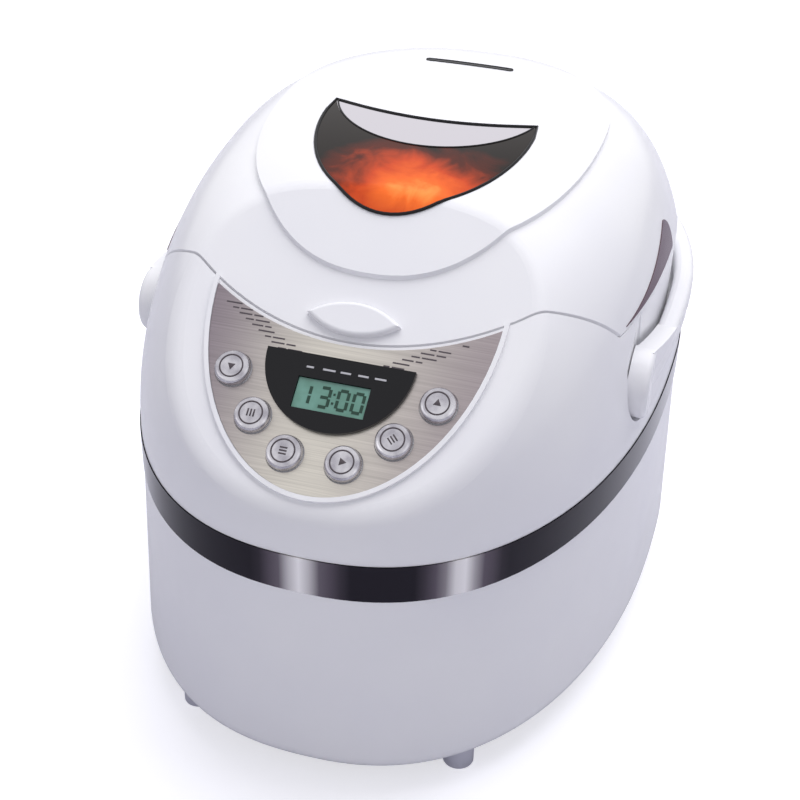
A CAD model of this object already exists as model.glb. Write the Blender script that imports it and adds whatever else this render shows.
import math

import bmesh
import bpy
from mathutils import Matrix, Vector


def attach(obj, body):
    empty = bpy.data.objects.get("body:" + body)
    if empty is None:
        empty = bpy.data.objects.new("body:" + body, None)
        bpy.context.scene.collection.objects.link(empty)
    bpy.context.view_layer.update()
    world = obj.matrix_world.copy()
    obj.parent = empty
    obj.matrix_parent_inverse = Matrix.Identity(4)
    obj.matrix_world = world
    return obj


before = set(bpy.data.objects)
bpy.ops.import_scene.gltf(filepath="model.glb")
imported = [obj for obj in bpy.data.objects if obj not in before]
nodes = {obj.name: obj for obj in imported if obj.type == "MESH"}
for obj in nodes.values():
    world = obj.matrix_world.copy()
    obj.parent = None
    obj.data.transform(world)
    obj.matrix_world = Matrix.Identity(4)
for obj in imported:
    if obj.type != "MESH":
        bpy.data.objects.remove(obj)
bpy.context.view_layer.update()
scene = bpy.context.scene
scene.view_settings.view_transform = "Standard"
mm = 0.001
print("frame loaded:", len(nodes), "nodes")


# sRGB hex to the linear colour that the shader sockets take
def hexToLinear(code):
    parts = [int(code[i:i + 2], 16) / 255 for i in (1, 3, 5)]
    return tuple(p / 12.92 if p <= 0.04045 else ((p + 0.055) / 1.055) ** 2.4 for p in parts) + (1.0,)


# one node with its settings and its links: inputs are values or (node, output) pairs
def addNode(tree, kind, inputs=None, **settings):
    node = tree.nodes.new(kind)
    for name, value in settings.items():
        setattr(node, name, value)
    for name, value in (inputs or {}).items():
        if isinstance(value, tuple) and hasattr(value[0], "outputs"):
            tree.links.new(value[0].outputs[value[1]], node.inputs[name])
        else:
            node.inputs[name].default_value = value
    return node


# a material with its shader's plain values set, then its node tree, its shader and its coordinates
def newMaterial(name, **sockets):
    material = bpy.data.materials.new(name)
    material.use_nodes = True
    tree = material.node_tree
    shader = tree.nodes["Principled BSDF"]
    for socket, value in sockets.items():
        shader.inputs[socket.replace("_", " ")].default_value = value
    return material, tree, shader, addNode(tree, "ShaderNodeTexCoord")


# spacing in mm to a noise scale on coordinates in metres
def perMetre(spacing):
    return 1000.0 / spacing


# a fine random relief: grain and height in mm, stretched by a scale for each axis
def addGrain(tree, shader, place, grain, height, strength, stretch=(1.0, 1.0, 1.0)):
    laid = addNode(tree, "ShaderNodeMapping", {"Vector": (place, "Object"), "Scale": stretch})
    noise = addNode(tree, "ShaderNodeTexNoise",
                    {"Vector": (laid, "Vector"), "Scale": perMetre(grain), "Detail": 3.0})
    bump = addNode(tree, "ShaderNodeBump",
                   {"Height": (noise, "Fac"), "Strength": strength, "Distance": height * mm})
    tree.links.new(bump.outputs["Normal"], shader.inputs["Normal"])


# roughness that wanders between two values over the surface, by a noise that is given back
def addRoughness(tree, shader, place, spacing, low, high, stretch=(1.0, 1.0, 1.0)):
    laid = addNode(tree, "ShaderNodeMapping", {"Vector": (place, "Object"), "Scale": stretch})
    noise = addNode(tree, "ShaderNodeTexNoise",
                    {"Vector": (laid, "Vector"), "Scale": perMetre(spacing), "Detail": 4.0})
    spread = addNode(tree, "ShaderNodeMapRange", {"Value": (noise, "Fac"), "To Min": low, "To Max": high})
    tree.links.new(spread.outputs["Result"], shader.inputs["Roughness"])
    return noise


# colour that drifts between two shades over the surface
def addDrift(tree, shader, place, spacing, shades):
    noise = addNode(tree, "ShaderNodeTexNoise",
                    {"Vector": (place, "Object"), "Scale": perMetre(spacing), "Detail": 2.0})
    ramp = addNode(tree, "ShaderNodeValToRGB", {"Fac": (noise, "Fac")})
    usualNoise = (0.35, 0.65)  # most of the noise lies between these
    for stop, position, shade in zip(ramp.color_ramp.elements, usualNoise, shades):
        stop.position = position
        stop.color = hexToLinear(shade)
    tree.links.new(ramp.outputs["Color"], shader.inputs["Base Color"])


# ABS, injection moulded in a polished tool: clean white with a clear gloss and faint flow waviness
def makeWhiteAbs():
    material, tree, shader, place = newMaterial("glossyWhiteAbs", IOR=1.53)
    addDrift(tree, shader, place, spacing=90.0, shades=("#efeff3", "#f3f3f5"))
    addRoughness(tree, shader, place, spacing=40.0, low=0.2, high=0.28)
    addGrain(tree, shader, place, grain=22.0, height=0.02, strength=0.25)
    return material


# chrome plating on ABS, polished: a dark mirror with the bright upright streaks that it shows round a bend
def makeBandChrome():
    # turns and spread are degrees round the band from its front, and the profile counts in spreads
    streaks = {"turns": (0.0, 22.0, 118.0, 200.0, 262.0), "spread": 3.2,
               "profile": ((-2, "dark"), (-1, "grey"), (0, "bright"), (1, "grey"), (2.2, "dark")),
               "dark": "#2b292f", "grey": "#625b64", "bright": "#f2f0ee"}
    material, tree, shader, place = newMaterial("polishedChrome", Metallic=1.0)
    parts = addNode(tree, "ShaderNodeSeparateXYZ", {"Vector": (place, "Object")})
    ahead = addNode(tree, "ShaderNodeMath", {0: (parts, "Y"), 1: -1.0}, operation="MULTIPLY")
    angle = addNode(tree, "ShaderNodeMath", {0: (parts, "X"), 1: (ahead, "Value")}, operation="ARCTAN2")
    share = addNode(tree, "ShaderNodeMapRange",
                    {"Value": (angle, "Value"), "From Min": -math.pi, "From Max": math.pi})
    ramp = addNode(tree, "ShaderNodeValToRGB", {"Fac": (share, "Result")})
    stops = ramp.color_ramp
    stops.interpolation = "EASE"
    stops.elements[0].color = stops.elements[1].color = hexToLinear(streaks["grey"])
    for turn in streaks["turns"]:
        for side, shade in streaks["profile"]:
            stop = stops.elements.new(((turn + side * streaks["spread"]) / 360 + 0.5) % 1)
            stop.color = hexToLinear(streaks[shade])
    tree.links.new(ramp.outputs["Color"], shader.inputs["Base Color"])
    addRoughness(tree, shader, place, spacing=30.0, low=0.06, high=0.12)
    addGrain(tree, shader, place, grain=25.0, height=0.01, strength=0.2)
    return material


# chrome plating, tinted: a mauve mirror, slightly hazed
def makeTintedChrome():
    mauve = hexToLinear("#6a5660")
    material, tree, shader, place = newMaterial("tintedChrome", Base_Color=mauve, Metallic=1.0)
    addRoughness(tree, shader, place, spacing=12.0, low=0.18, high=0.28)
    return material


# stainless steel, brushed across: fine lines along X, warmer and brighter towards the middle
def makeBrushedSteel():
    # lines of 0.7 mm with a relief of 0.5 mm, 80 times as long: coarser than real ones, so that they show
    brushing = {"line": 0.7, "relief": 0.5, "stretch": (0.012, 1.0, 1.0), "shade": (0.86, 1.1)}
    sheen = {"half": 72.0, "left": "#8f858c", "middle": "#cfcac1", "right": "#a49a9d", "spot": 0.47}
    material, tree, shader, place = newMaterial("brushedStainless", Metallic=1.0)
    parts = addNode(tree, "ShaderNodeSeparateXYZ", {"Vector": (place, "Object")})
    share = addNode(tree, "ShaderNodeMapRange", {"Value": (parts, "X"), "From Min": -sheen["half"] * mm,
                                                 "From Max": sheen["half"] * mm})
    ramp = addNode(tree, "ShaderNodeValToRGB", {"Fac": (share, "Result")})
    ramp.color_ramp.interpolation = "EASE"
    ramp.color_ramp.elements[0].color = hexToLinear(sheen["left"])
    ramp.color_ramp.elements[1].color = hexToLinear(sheen["right"])
    ramp.color_ramp.elements.new(sheen["spot"]).color = hexToLinear(sheen["middle"])
    scratch = addRoughness(tree, shader, place, spacing=brushing["line"], low=0.28, high=0.46,
                           stretch=brushing["stretch"])
    dullest, brightest = brushing["shade"]
    shade = addNode(tree, "ShaderNodeMapRange", {"Value": (scratch, "Fac"), "From Min": 0.3, "From Max": 0.7,
                                                 "To Min": dullest, "To Max": brightest})
    tone = addNode(tree, "ShaderNodeVectorMath", {0: (ramp, "Color"), 1: (shade, "Result")},
                   operation="MULTIPLY")
    tree.links.new(tone.outputs["Vector"], shader.inputs["Base Color"])
    addGrain(tree, shader, place, grain=brushing["relief"], height=0.02, strength=0.35,
             stretch=brushing["stretch"])
    return material


# ABS, moulded in a spark-eroded tool: a satin black
def makeBlackAbs():
    black = hexToLinear("#101013")
    material, tree, shader, place = newMaterial("satinBlackAbs", Base_Color=black, Specular_IOR_Level=0.25)
    addRoughness(tree, shader, place, spacing=8.0, low=0.25, high=0.38)
    addGrain(tree, shader, place, grain=0.8, height=0.01, strength=0.3)
    return material


# silver lacquer sprayed on ABS: a soft metal look under a clear coat
def makeSilverLacquer():
    material, tree, shader, place = newMaterial("silverLacquer", Metallic=0.9, Coat_Weight=0.4,
                                                Coat_Roughness=0.06)
    addDrift(tree, shader, place, spacing=7.0, shades=("#a7a4ac", "#cfcdd2"))
    addRoughness(tree, shader, place, spacing=3.0, low=0.2, high=0.32)
    return material


# float glass over liquid crystal: a glossy grey-green
def makeLcdGlass():
    material, tree, shader, place = newMaterial("lcdGlass", Coat_Weight=0.5, Coat_Roughness=0.04)
    addDrift(tree, shader, place, spacing=9.0, shades=("#588878", "#68998b"))
    addRoughness(tree, shader, place, spacing=5.0, low=0.2, high=0.3)
    return material


# smoke-tinted glass over the lit oven: nearly black at the edge, amber glow towards the middle
def makeSmokedGlass():
    # middle, reach and patches in mm; ragged is how far the patches push the glow's edge in and out
    glow = {"middle": (12.0, -60.0), "reach": (60.0, 44.0), "patches": 22.0, "ragged": 0.17, "strength": 0.42,
            "hottest": "#ee8f45", "smoke": "#16100c",
            "between": ((0.2, "#d9601f"), (0.5, "#b23c12"), (0.76, "#4a180a"))}
    material, tree, shader, place = newMaterial("smokedGlass", Roughness=0.04, IOR=1.5,
                                                Specular_IOR_Level=0.22, Emission_Strength=glow["strength"])
    scale = [perMetre(reach) for reach in glow["reach"]]
    shift = [-middle * mm * size for middle, size in zip(glow["middle"], scale)]
    near = addNode(tree, "ShaderNodeMapping", {"Vector": (place, "Object"), "Scale": (*scale, 0.0),
                                               "Location": (*shift, 0.0)})
    far = addNode(tree, "ShaderNodeVectorMath", {0: (near, "Vector")}, operation="LENGTH")
    patches = addNode(tree, "ShaderNodeTexNoise", {"Vector": (place, "Object"), "Detail": 4.0,
                                                   "Scale": perMetre(glow["patches"]), "Distortion": 0.5})
    ragged = addNode(tree, "ShaderNodeMapRange", {"Value": (patches, "Fac"), "From Min": 0.3, "From Max": 0.7,
                                                  "To Min": -glow["ragged"], "To Max": glow["ragged"]})
    depth = addNode(tree, "ShaderNodeMath", {0: (far, "Value"), 1: (ragged, "Result")}, operation="ADD")
    ramp = addNode(tree, "ShaderNodeValToRGB", {"Fac": (depth, "Value")})
    stops = ramp.color_ramp.elements
    stops[0].color = hexToLinear(glow["hottest"])
    stops[1].color = hexToLinear(glow["smoke"])
    for spot, shade in glow["between"]:
        stops.new(spot).color = hexToLinear(shade)
    for socket in ("Base Color", "Emission Color"):
        tree.links.new(ramp.outputs["Color"], shader.inputs[socket])
    return material


# bare or plated metal in one colour, with a fine tooth and a gloss that wanders over a few grains
def makePlainMetal(name, colour, low, high, grain):
    material, tree, shader, place = newMaterial(name, Base_Color=hexToLinear(colour), Metallic=1.0)
    addRoughness(tree, shader, place, grain * 4, low, high)
    addGrain(tree, shader, place, grain, height=0.01, strength=0.2)
    return material


# a coating or a moulding in one colour, with a fine tooth and a gloss that wanders over a few grains
def makeCoating(name, colour, low, high, grain):
    material, tree, shader, place = newMaterial(name, Base_Color=hexToLinear(colour), IOR=1.5)
    addRoughness(tree, shader, place, grain * 6, low, high)
    addGrain(tree, shader, place, grain, height=0.02, strength=0.3)
    return material


white = makeWhiteAbs()
bandChrome = makeBandChrome()
tintedChrome = makeTintedChrome()
brushedSteel = makeBrushedSteel()
blackAbs = makeBlackAbs()
silverLacquer = makeSilverLacquer()
lcdGlass = makeLcdGlass()
smokedGlass = makeSmokedGlass()
# plainer finishes: lowest and highest roughness, then the grain in mm
brightChrome = makePlainMetal("brightChrome", "#dcd8de", 0.05, 0.1, 8.0)  # polished plating, a pale mirror
clearGlass = makeCoating("temperedGlass", "#20262a", 0.03, 0.06, 20.0)  # tempered, glossy over a dark hollow
rubber = makeCoating("mouldedRubber", "#3b3b40", 0.55, 0.75, 1.0)  # moulded, dull and dark
paleRubber = makeCoating("paleRubber", "#c3c3cf", 0.5, 0.7, 1.0)  # moulded, dull and pale
zincSheet = makePlainMetal("zincPlatedSheet", "#b9babd", 0.3, 0.45, 2.0)  # rolled and plated, a soft sheen
turnedSteel = makePlainMetal("turnedSteel", "#b4b4b8", 0.18, 0.3, 0.8)  # turned, bright with a fine tooth
castAlloy = makePlainMetal("dieCastAlloy", "#b7b7bb", 0.4, 0.55, 0.9)  # as cast, pale and nearly matt
greyEnamel = makeCoating("heatproofEnamel", "#57575c", 0.3, 0.45, 1.2)  # fired, grey with a low gloss
nonStick = makeCoating("nonStickCoating", "#333336", 0.35, 0.5, 0.7)  # sprayed and baked, a dark satin
blackLacquer = makeCoating("blackLacquer", "#2b2b2e", 0.3, 0.45, 1.4)  # sprayed, black with a low gloss
solderMask = makeCoating("greenSolderMask", "#1f6a3a", 0.25, 0.4, 1.0)  # printed, green with a low gloss

finishes = {
    white: ["lower_housing", "upper_housing", "lid_shell", "carry_handle", "lid_tab"],
    bandChrome: ["trim_band"],
    brightChrome: ["window_trim"],
    tintedChrome: ["side_trims"],
    brushedSteel: ["control_panel"],
    blackAbs: ["base_plate", "display_bezel", "button_switches", "steam_vent", "motor_pulley",
               "run_capacitor", "cord_gland"],
    lcdGlass: ["lcd_display"],
    silverLacquer: ["timer_down_button", "size_button", "menu_button", "start_button", "crust_button",
                    "timer_up_button"],
    smokedGlass: ["lid_window"],
    clearGlass: ["inner_window"],
    rubber: ["drive_belt"],
    paleRubber: ["rubber_feet"],
    zincSheet: ["lid_liner", "chassis_plate", "element_clips", "pan_clips"],
    turnedSteel: ["liner_screws", "hinge_pin", "handle_pins", "base_screws", "chassis_screws", "motor_shaft",
                  "drive_shaft", "heating_element", "temperature_sensor", "pan_handle", "kneading_shaft"],
    castAlloy: ["drive_pulley", "bearing_housing", "drive_coupling", "pan_base_ring", "pan_bearing"],
    greyEnamel: ["oven_chamber"],
    nonStick: ["bread_pan", "kneading_paddle"],
    blackLacquer: ["motor"],
    solderMask: ["control_board"],
}
for material, names in finishes.items():
    for name in names:
        slots = nodes[name].data.materials
        slots.clear()
        slots.append(material)
print("finishes set on", sum(len(names) for names in finishes.values()), "nodes")

# panel frame: millimetres across, up along and out from the panel's face; rays start above it
panelSeat = {"foot": (0, -190.43, 174.4), "tilt": 35.0, "above": 20.0}
bpy.context.view_layer.update()  # the ray casts below need it


def panelMatrix(across=0.0, along=0.0, out=0.0):
    foot = Matrix.Translation(Vector(panelSeat["foot"]) * mm)
    tilt = Matrix.Rotation(math.radians(panelSeat["tilt"]), 4, "X")
    return foot @ tilt @ Matrix.Translation(Vector((across, along, out)) * mm)


# how far a node's face stands out from the panel's plane at one place, in mm, or None beside the node
def faceOut(name, across, along):
    start = panelMatrix(across, along, panelSeat["above"])
    hit, spot = nodes[name].ray_cast(start.translation, start.to_3x3() @ Vector((0, 0, -1)))[:2]
    return (panelMatrix().inverted() @ spot).z / mm if hit else None


# a flat bar on the panel: its size across, along and out in mm, turned in degrees
def addBar(build, across, along, out, width, length, thick=0.12, turn=0.0):
    seat = panelMatrix(across, along, out + thick / 2) @ Matrix.Rotation(math.radians(turn), 4, "Z")
    size = Matrix.Diagonal((width * mm, length * mm, thick * mm, 1.0))
    bmesh.ops.create_cube(build, size=1.0, matrix=seat @ size)


# a bmesh becomes a piece that rides on a body
def addPiece(name, build, material, body, smooth=False):
    mesh = bpy.data.meshes.new(name)
    bmesh.ops.recalc_face_normals(build, faces=build.faces)
    for face in build.faces:
        face.smooth = smooth
    build.to_mesh(mesh)
    build.free()
    mesh.materials.append(material)
    piece = bpy.data.objects.new(name, mesh)
    scene.collection.objects.link(piece)
    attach(piece, body)


# inks, screen printed: flat and dry, a little uneven
darkInk = makeCoating("screenPrintInk", "#4b4449", 0.5, 0.7, 0.6)
paleInk = makeCoating("palePrintInk", "#b9b9be", 0.5, 0.7, 0.6)
crystalInk = makeCoating("liquidCrystal", "#0c3427", 0.3, 0.4, 0.6)  # segments behind glass, smooth and dark

# display: programme number and time in seven-segment figures, with a colon of two dots
display = {"middle": (1.5, 47.2), "width": 4.6, "height": 9.4, "stroke": 1.5, "endGap": 0.9,
           "figures": ((-14.0, "1"), (-4.6, "3"), (4.2, "0"), (11.6, "0")),
           "colonAcross": -0.2, "colonRise": 2.2, "colonDot": 1.1}
litSegments = {"1": "bc", "3": "abcdg", "0": "abcdef"}
midAcross, midAlong = display["middle"]
wide, high, stroke = display["width"] / 2, display["height"] / 2, display["stroke"]
lcdOut = faceOut("lcd_display", midAcross, midAlong)
segments = {"a": (0, high, True), "g": (0, 0, True), "d": (0, -high, True),
            "b": (wide, high / 2, False), "c": (wide, -high / 2, False),
            "e": (-wide, -high / 2, False), "f": (-wide, high / 2, False)}
build = bmesh.new()
for shift, figure in display["figures"]:
    for segment in litSegments[figure]:
        across, along, flat = segments[segment]
        span = (display["width"] if flat else high) - display["endGap"]
        width, length = (span, stroke) if flat else (stroke, span)
        addBar(build, midAcross + shift + across, midAlong + along, lcdOut, width, length)
dot = display["colonDot"]
for along in (-display["colonRise"], display["colonRise"]):
    addBar(build, midAcross + display["colonAcross"], midAlong + along, lcdOut, dot, dot)
addPiece("displayFigures", build, crystalInk, "housing")

# marks above the display, one for each programme step
bezelMarks = {"along": 60.3, "height": 0.9,
              "starts": (-15.0, -7.0, 1.5, 10.0, 18.0), "spans": (3.5, 6.0, 5.0, 5.0, 5.5)}
build = bmesh.new()
for start, span in zip(bezelMarks["starts"], bezelMarks["spans"]):
    out = faceOut("display_bezel", start, bezelMarks["along"])
    addBar(build, start + span / 2, bezelMarks["along"], out, span, bezelMarks["height"])
addPiece("bezelMarks", build, paleInk, "housing")

# two lists of short lines, printed along the panel's upper edge; margin is a share of a line
panelLists = {"left": (-63.0, 86.5), "right": (47.0, 84.5), "step": (3.9, 2.35), "rows": 9,
              "height": 0.7, "space": 1.0, "margin": 0.05,
              "words": ((5.5, 3.2), (8.0,), (3.0, 6.0), (6.5, 4.5), (4.0, 7.0))}
build = bmesh.new()
for side, (firstAcross, firstAlong) in ((1, panelLists["left"]), (-1, panelLists["right"])):
    for row in range(panelLists["rows"]):
        across = firstAcross + side * row * panelLists["step"][0]
        along = firstAlong - row * panelLists["step"][1]
        for span in panelLists["words"][(row + (side > 0)) % len(panelLists["words"])]:
            ends = [faceOut("control_panel", across + share * span, along)
                    for share in (-panelLists["margin"], 1 + panelLists["margin"])]
            if None not in ends and faceOut("display_bezel", across + span, along) is None:
                addBar(build, across + span / 2, along, ends[0], span, panelLists["height"])
            across += span + panelLists["space"]
addPiece("panelPrint", build, darkInk, "housing")

# a fine ring and a small sign on each button: place across and along, sign and its turn
buttonFace = {"out": 5.6, "ring": 5.5, "wire": 0.38, "wireSides": 10, "ringSteps": 48,
              "wedge": 2.3, "wedgeTop": 2.1, "wedgeThick": 0.3,
              "barStep": 1.5, "barWidth": 0.7, "barLength": 3.6, "barThick": 0.15}
buttonSigns = {
    "timer_down_button": (-49.7, 53.2, "wedge", -90), "size_button": (-33.9, 32.4, "bars", 0),
    "menu_button": (-14.0, 17.5, "bars", 90), "start_button": (14.0, 17.5, "wedge", 0),
    "crust_button": (33.9, 32.4, "bars", 45), "timer_up_button": (49.7, 53.2, "wedge", 90),
}
for name, (across, along, sign, turn) in buttonSigns.items():
    seat = panelMatrix(across, along, buttonFace["out"])
    build = bmesh.new()
    upright = Matrix.Translation((buttonFace["ring"] * mm, 0, 0)) @ Matrix.Rotation(math.radians(90), 4, "X")
    bmesh.ops.create_circle(build, segments=buttonFace["wireSides"], radius=buttonFace["wire"] * mm,
                            matrix=upright)
    bmesh.ops.spin(build, geom=build.verts[:] + build.edges[:], cent=(0, 0, 0), axis=(0, 0, 1),
                   angle=2 * math.pi, steps=buttonFace["ringSteps"], use_merge=True)
    bmesh.ops.remove_doubles(build, verts=build.verts, dist=1e-6)
    bmesh.ops.transform(build, matrix=seat, verts=build.verts)
    if sign == "wedge":
        pointed = seat @ Matrix.Rotation(math.radians(turn - 90), 4, "Z")
        bmesh.ops.create_cone(build, segments=3, radius1=buttonFace["wedge"] * mm,
                              radius2=buttonFace["wedgeTop"] * mm, depth=buttonFace["wedgeThick"] * mm,
                              cap_ends=True, matrix=pointed)
    else:
        for step in (-buttonFace["barStep"], 0, buttonFace["barStep"]):
            shift = Matrix.Rotation(math.radians(turn), 4, "Z") @ Vector((step, 0, 0))
            addBar(build, across + shift.x, along + shift.y, buttonFace["out"], buttonFace["barWidth"],
                   buttonFace["barLength"], buttonFace["barThick"], turn)
    first, *others = name.split("_")
    pieceName = first + "".join(word.capitalize() for word in others) + "Face"
    addPiece(pieceName, build, darkInk, name, smooth=True)
print("panel details made")

# window seal: a round bead along the window's outline and one along the bright strip's lower edge
seal = {"half": 54.5, "corner": 19.57, "dip": 10.5, "belly": 55.5, "shoulder": 6.57, "front": -73.43,
        "bead": 0.85, "stripInset": 1.0, "stripDip": 40.0, "stripBead": 0.5,
        "bowlSteps": 48, "topSteps": 28, "stripSteps": 36}
lidProbe = {"above": 400.0, "beside": 0.6}


# the highest lid surface over one place or just beside it, because two pieces may leave a gap there
def lidTop(across, along):
    beside = lidProbe["beside"]
    heights = []
    for name in ("lid_window", "window_trim", "lid_shell"):
        for aside, behind in ((0, 0), (0, beside), (0, -beside), (beside, 0), (-beside, 0)):
            start = Vector((across + aside, along + behind, lidProbe["above"])) * mm
            hit, spot = nodes[name].ray_cast(start, Vector((0, 0, -1)))[:2]
            if hit:
                heights.append(spot.z)
    return Vector((across * mm, along * mm, max(heights)))


# an arc from left to right that sags by its dip below the level of its ends
def sagArc(half, level, dip, steps):
    radius = (half * half + dip * dip) / (2 * dip)
    swing = math.asin(half / radius)
    turns = [swing * (2 * i / steps - 1) for i in range(steps + 1)]
    return [(radius * math.sin(turn), level - dip + radius * (1 - math.cos(turn))) for turn in turns]


# a round bead that lies on the lid along an outline seen from above
def addBead(name, outline, radius, closed):
    curve = bpy.data.curves.new(name, "CURVE")
    curve.dimensions = "3D"
    curve.bevel_depth = radius * mm
    curve.bevel_resolution = 3
    curve.use_fill_caps = True
    line = curve.splines.new("POLY")
    line.points.add(len(outline) - 1)
    for point, (across, along) in zip(line.points, outline):
        point.co = (*lidTop(across, along), 1.0)
    line.use_cyclic_u = closed
    curve.materials.append(blackAbs)
    bead = bpy.data.objects.new(name, curve)
    scene.collection.objects.link(bead)
    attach(bead, "lid")


# the bowl is the front half of an oval, from the right shoulder round to the left one
bowlTurns = [-math.pi * i / seal["bowlSteps"] for i in range(seal["bowlSteps"] + 1)]
bowlDepth = seal["shoulder"] - seal["front"]
bowl = [(seal["belly"] * math.cos(turn), seal["shoulder"] + bowlDepth * math.sin(turn)) for turn in bowlTurns]
windowTop = sagArc(seal["half"], seal["corner"], seal["dip"], seal["topSteps"])
stripLine = sagArc(seal["half"] - seal["stripInset"], seal["corner"], seal["stripDip"], seal["stripSteps"])
addBead("windowSeal", bowl + windowTop, seal["bead"], True)
addBead("stripEdge", stripLine, seal["stripBead"], False)

# steam grille: an oblong insert with a raised lip, cut across so that it bends with the crown of the lid;
# its middle is sunk below the lip, and its skirt bites into the lid
grille = {"middle": 92.0, "straight": 23.0, "half": 2.2, "lip": 0.7, "rise": 0.5, "sunk": 0.3, "bite": 0.3,
          "sides": 32, "cuts": (0.0, -15.0, -7.5, 7.5, 15.0)}
build = bmesh.new()
bmesh.ops.create_circle(build, cap_ends=True, segments=grille["sides"], radius=grille["half"] * mm)
for vert in build.verts:
    vert.co.x += math.copysign(grille["straight"] * mm, vert.co.x)
    vert.co.y += grille["middle"] * mm
for cut in grille["cuts"]:
    bmesh.ops.bisect_plane(build, geom=build.verts[:] + build.edges[:] + build.faces[:],
                           plane_co=(cut * mm, 0, 0), plane_no=(1, 0, 0))
for vert in build.verts:
    vert.co.z = lidTop(vert.co.x / mm, vert.co.y / mm).z + grille["rise"] * mm
bmesh.ops.inset_region(build, faces=build.faces[:], thickness=grille["lip"] * mm, depth=-grille["sunk"] * mm,
                       use_even_offset=True, use_boundary=True)
rim = [edge for edge in build.edges if edge.is_boundary]
skirt = bmesh.ops.extrude_edge_only(build, edges=rim)
for item in skirt["geom"]:
    if isinstance(item, bmesh.types.BMVert):
        item.co.z -= (grille["rise"] + grille["bite"]) * mm
addPiece("steamGrille", build, blackAbs, "lid")
print("lid details made")

# camera: stands to the front right and looks down; places in mm, turns in degrees
view = {"place": (184.26, -695.67, 593.44), "azimuth": 15.576, "elevation": 34.268, "roll": -1.535,
        "lens": 68.02, "sensor": 36.0}
turn, rise, roll = (math.radians(view[key]) for key in ("azimuth", "elevation", "roll"))
back = Vector((math.sin(turn) * math.cos(rise), -math.cos(turn) * math.cos(rise), math.sin(rise)))
right = Vector((math.cos(turn), math.sin(turn), 0))
up = back.cross(right)
rolledRight = right * math.cos(roll) - up * math.sin(roll)
rolledUp = right * math.sin(roll) + up * math.cos(roll)
stance = Matrix((rolledRight, rolledUp, back)).transposed().to_4x4()
stance.translation = Vector(view["place"]) * mm
cameraData = bpy.data.cameras.new("photoCamera")
cameraData.lens = view["lens"]
cameraData.sensor_width = view["sensor"]
camera = bpy.data.objects.new("photoCamera", cameraData)
camera.matrix_world = stance
scene.collection.objects.link(camera)
scene.camera = camera

# studio: a pale floor that looks lighter to the camera, a white surround and four soft boxes, in metres
studio = {"floor": "#d6d6df", "floorReach": 6.0, "floorLift": 0.55, "ambient": 0.36,
          "surround": (0.98, 0.98, 1.0, 1.0), "shade": (0.89, 0.88, 1.0, 1.0)}
floorMesh = bpy.data.meshes.new("studioFloor")
build = bmesh.new()
bmesh.ops.create_grid(build, x_segments=1, y_segments=1, size=studio["floorReach"])
build.to_mesh(floorMesh)
build.free()
floor = bpy.data.objects.new("studioFloor", floorMesh)
scene.collection.objects.link(floor)
floorPaint, floorTree, floorShader = newMaterial("paleFloor", Base_Color=hexToLinear(studio["floor"]),
                                                 Roughness=0.9, Specular_IOR_Level=0.0)[:3]
floorMesh.materials.append(floorPaint)
floorRays = addNode(floorTree, "ShaderNodeLightPath")
lift = addNode(floorTree, "ShaderNodeMath", {0: (floorRays, "Is Camera Ray"), 1: studio["floorLift"]},
               operation="MULTIPLY")
floorTree.links.new(lift.outputs["Value"], floorShader.inputs["Emission Strength"])

# the camera, mirrors and glass see the white surround, and the rest gets a dimmer, cooler light from it
world = bpy.data.worlds.new("studioWorld")
scene.world = world
world.use_nodes = True
worldTree = world.node_tree
backdrop = worldTree.nodes["Background"]
rays = addNode(worldTree, "ShaderNodeLightPath")
seen = (rays, "Is Camera Ray")
for kind in ("Is Glossy Ray", "Is Transmission Ray"):
    seen = (addNode(worldTree, "ShaderNodeMath", {0: seen, 1: (rays, kind)}, operation="MAXIMUM"), "Value")
level = addNode(worldTree, "ShaderNodeMapRange", {"Value": seen, "To Min": studio["ambient"], "To Max": 1.0})
worldTree.links.new(level.outputs["Result"], backdrop.inputs["Strength"])
tint = addNode(worldTree, "ShaderNodeMix", {0: seen, 6: studio["shade"], 7: studio["surround"]},
               data_type="RGBA")  # sockets 6 and 7 are its two colours, output 2 their mix
worldTree.links.new(tint.outputs[2], backdrop.inputs["Color"])

# aim is the height that a box points at over the origin; glossy says if it shows in glossy surfaces
softBoxes = {
    "overheadBox": {"place": (0.1, 0.7, 1.9), "aim": 0.2, "size": (2.2, 1.6), "power": 40.0, "glossy": False},
    "leftBox": {"place": (-1.6, -1.2, 1.1), "aim": 0.15, "size": (1.2, 1.2), "power": 3.0, "glossy": True},
    "rightBox": {"place": (1.7, -0.9, 1.0), "aim": 0.15, "size": (1.2, 1.4), "power": 1.6, "glossy": True},
    "frontBox": {"place": (0.35, -2.0, 1.0), "aim": 0.15, "size": (0.9, 1.1), "power": 4.2, "glossy": False},
}
for name, box in softBoxes.items():
    lamp = bpy.data.lights.new(name, "AREA")
    lamp.shape = "RECTANGLE"
    lamp.size, lamp.size_y = box["size"]
    lamp.energy = box["power"]
    lampObject = bpy.data.objects.new(name, lamp)
    lampObject.location = box["place"]
    aim = Vector((0, 0, box["aim"])) - Vector(box["place"])
    lampObject.rotation_euler = aim.to_track_quat("-Z", "Y").to_euler()
    lampObject.visible_glossy = box["glossy"]
    scene.collection.objects.link(lampObject)
print("studio and camera set")
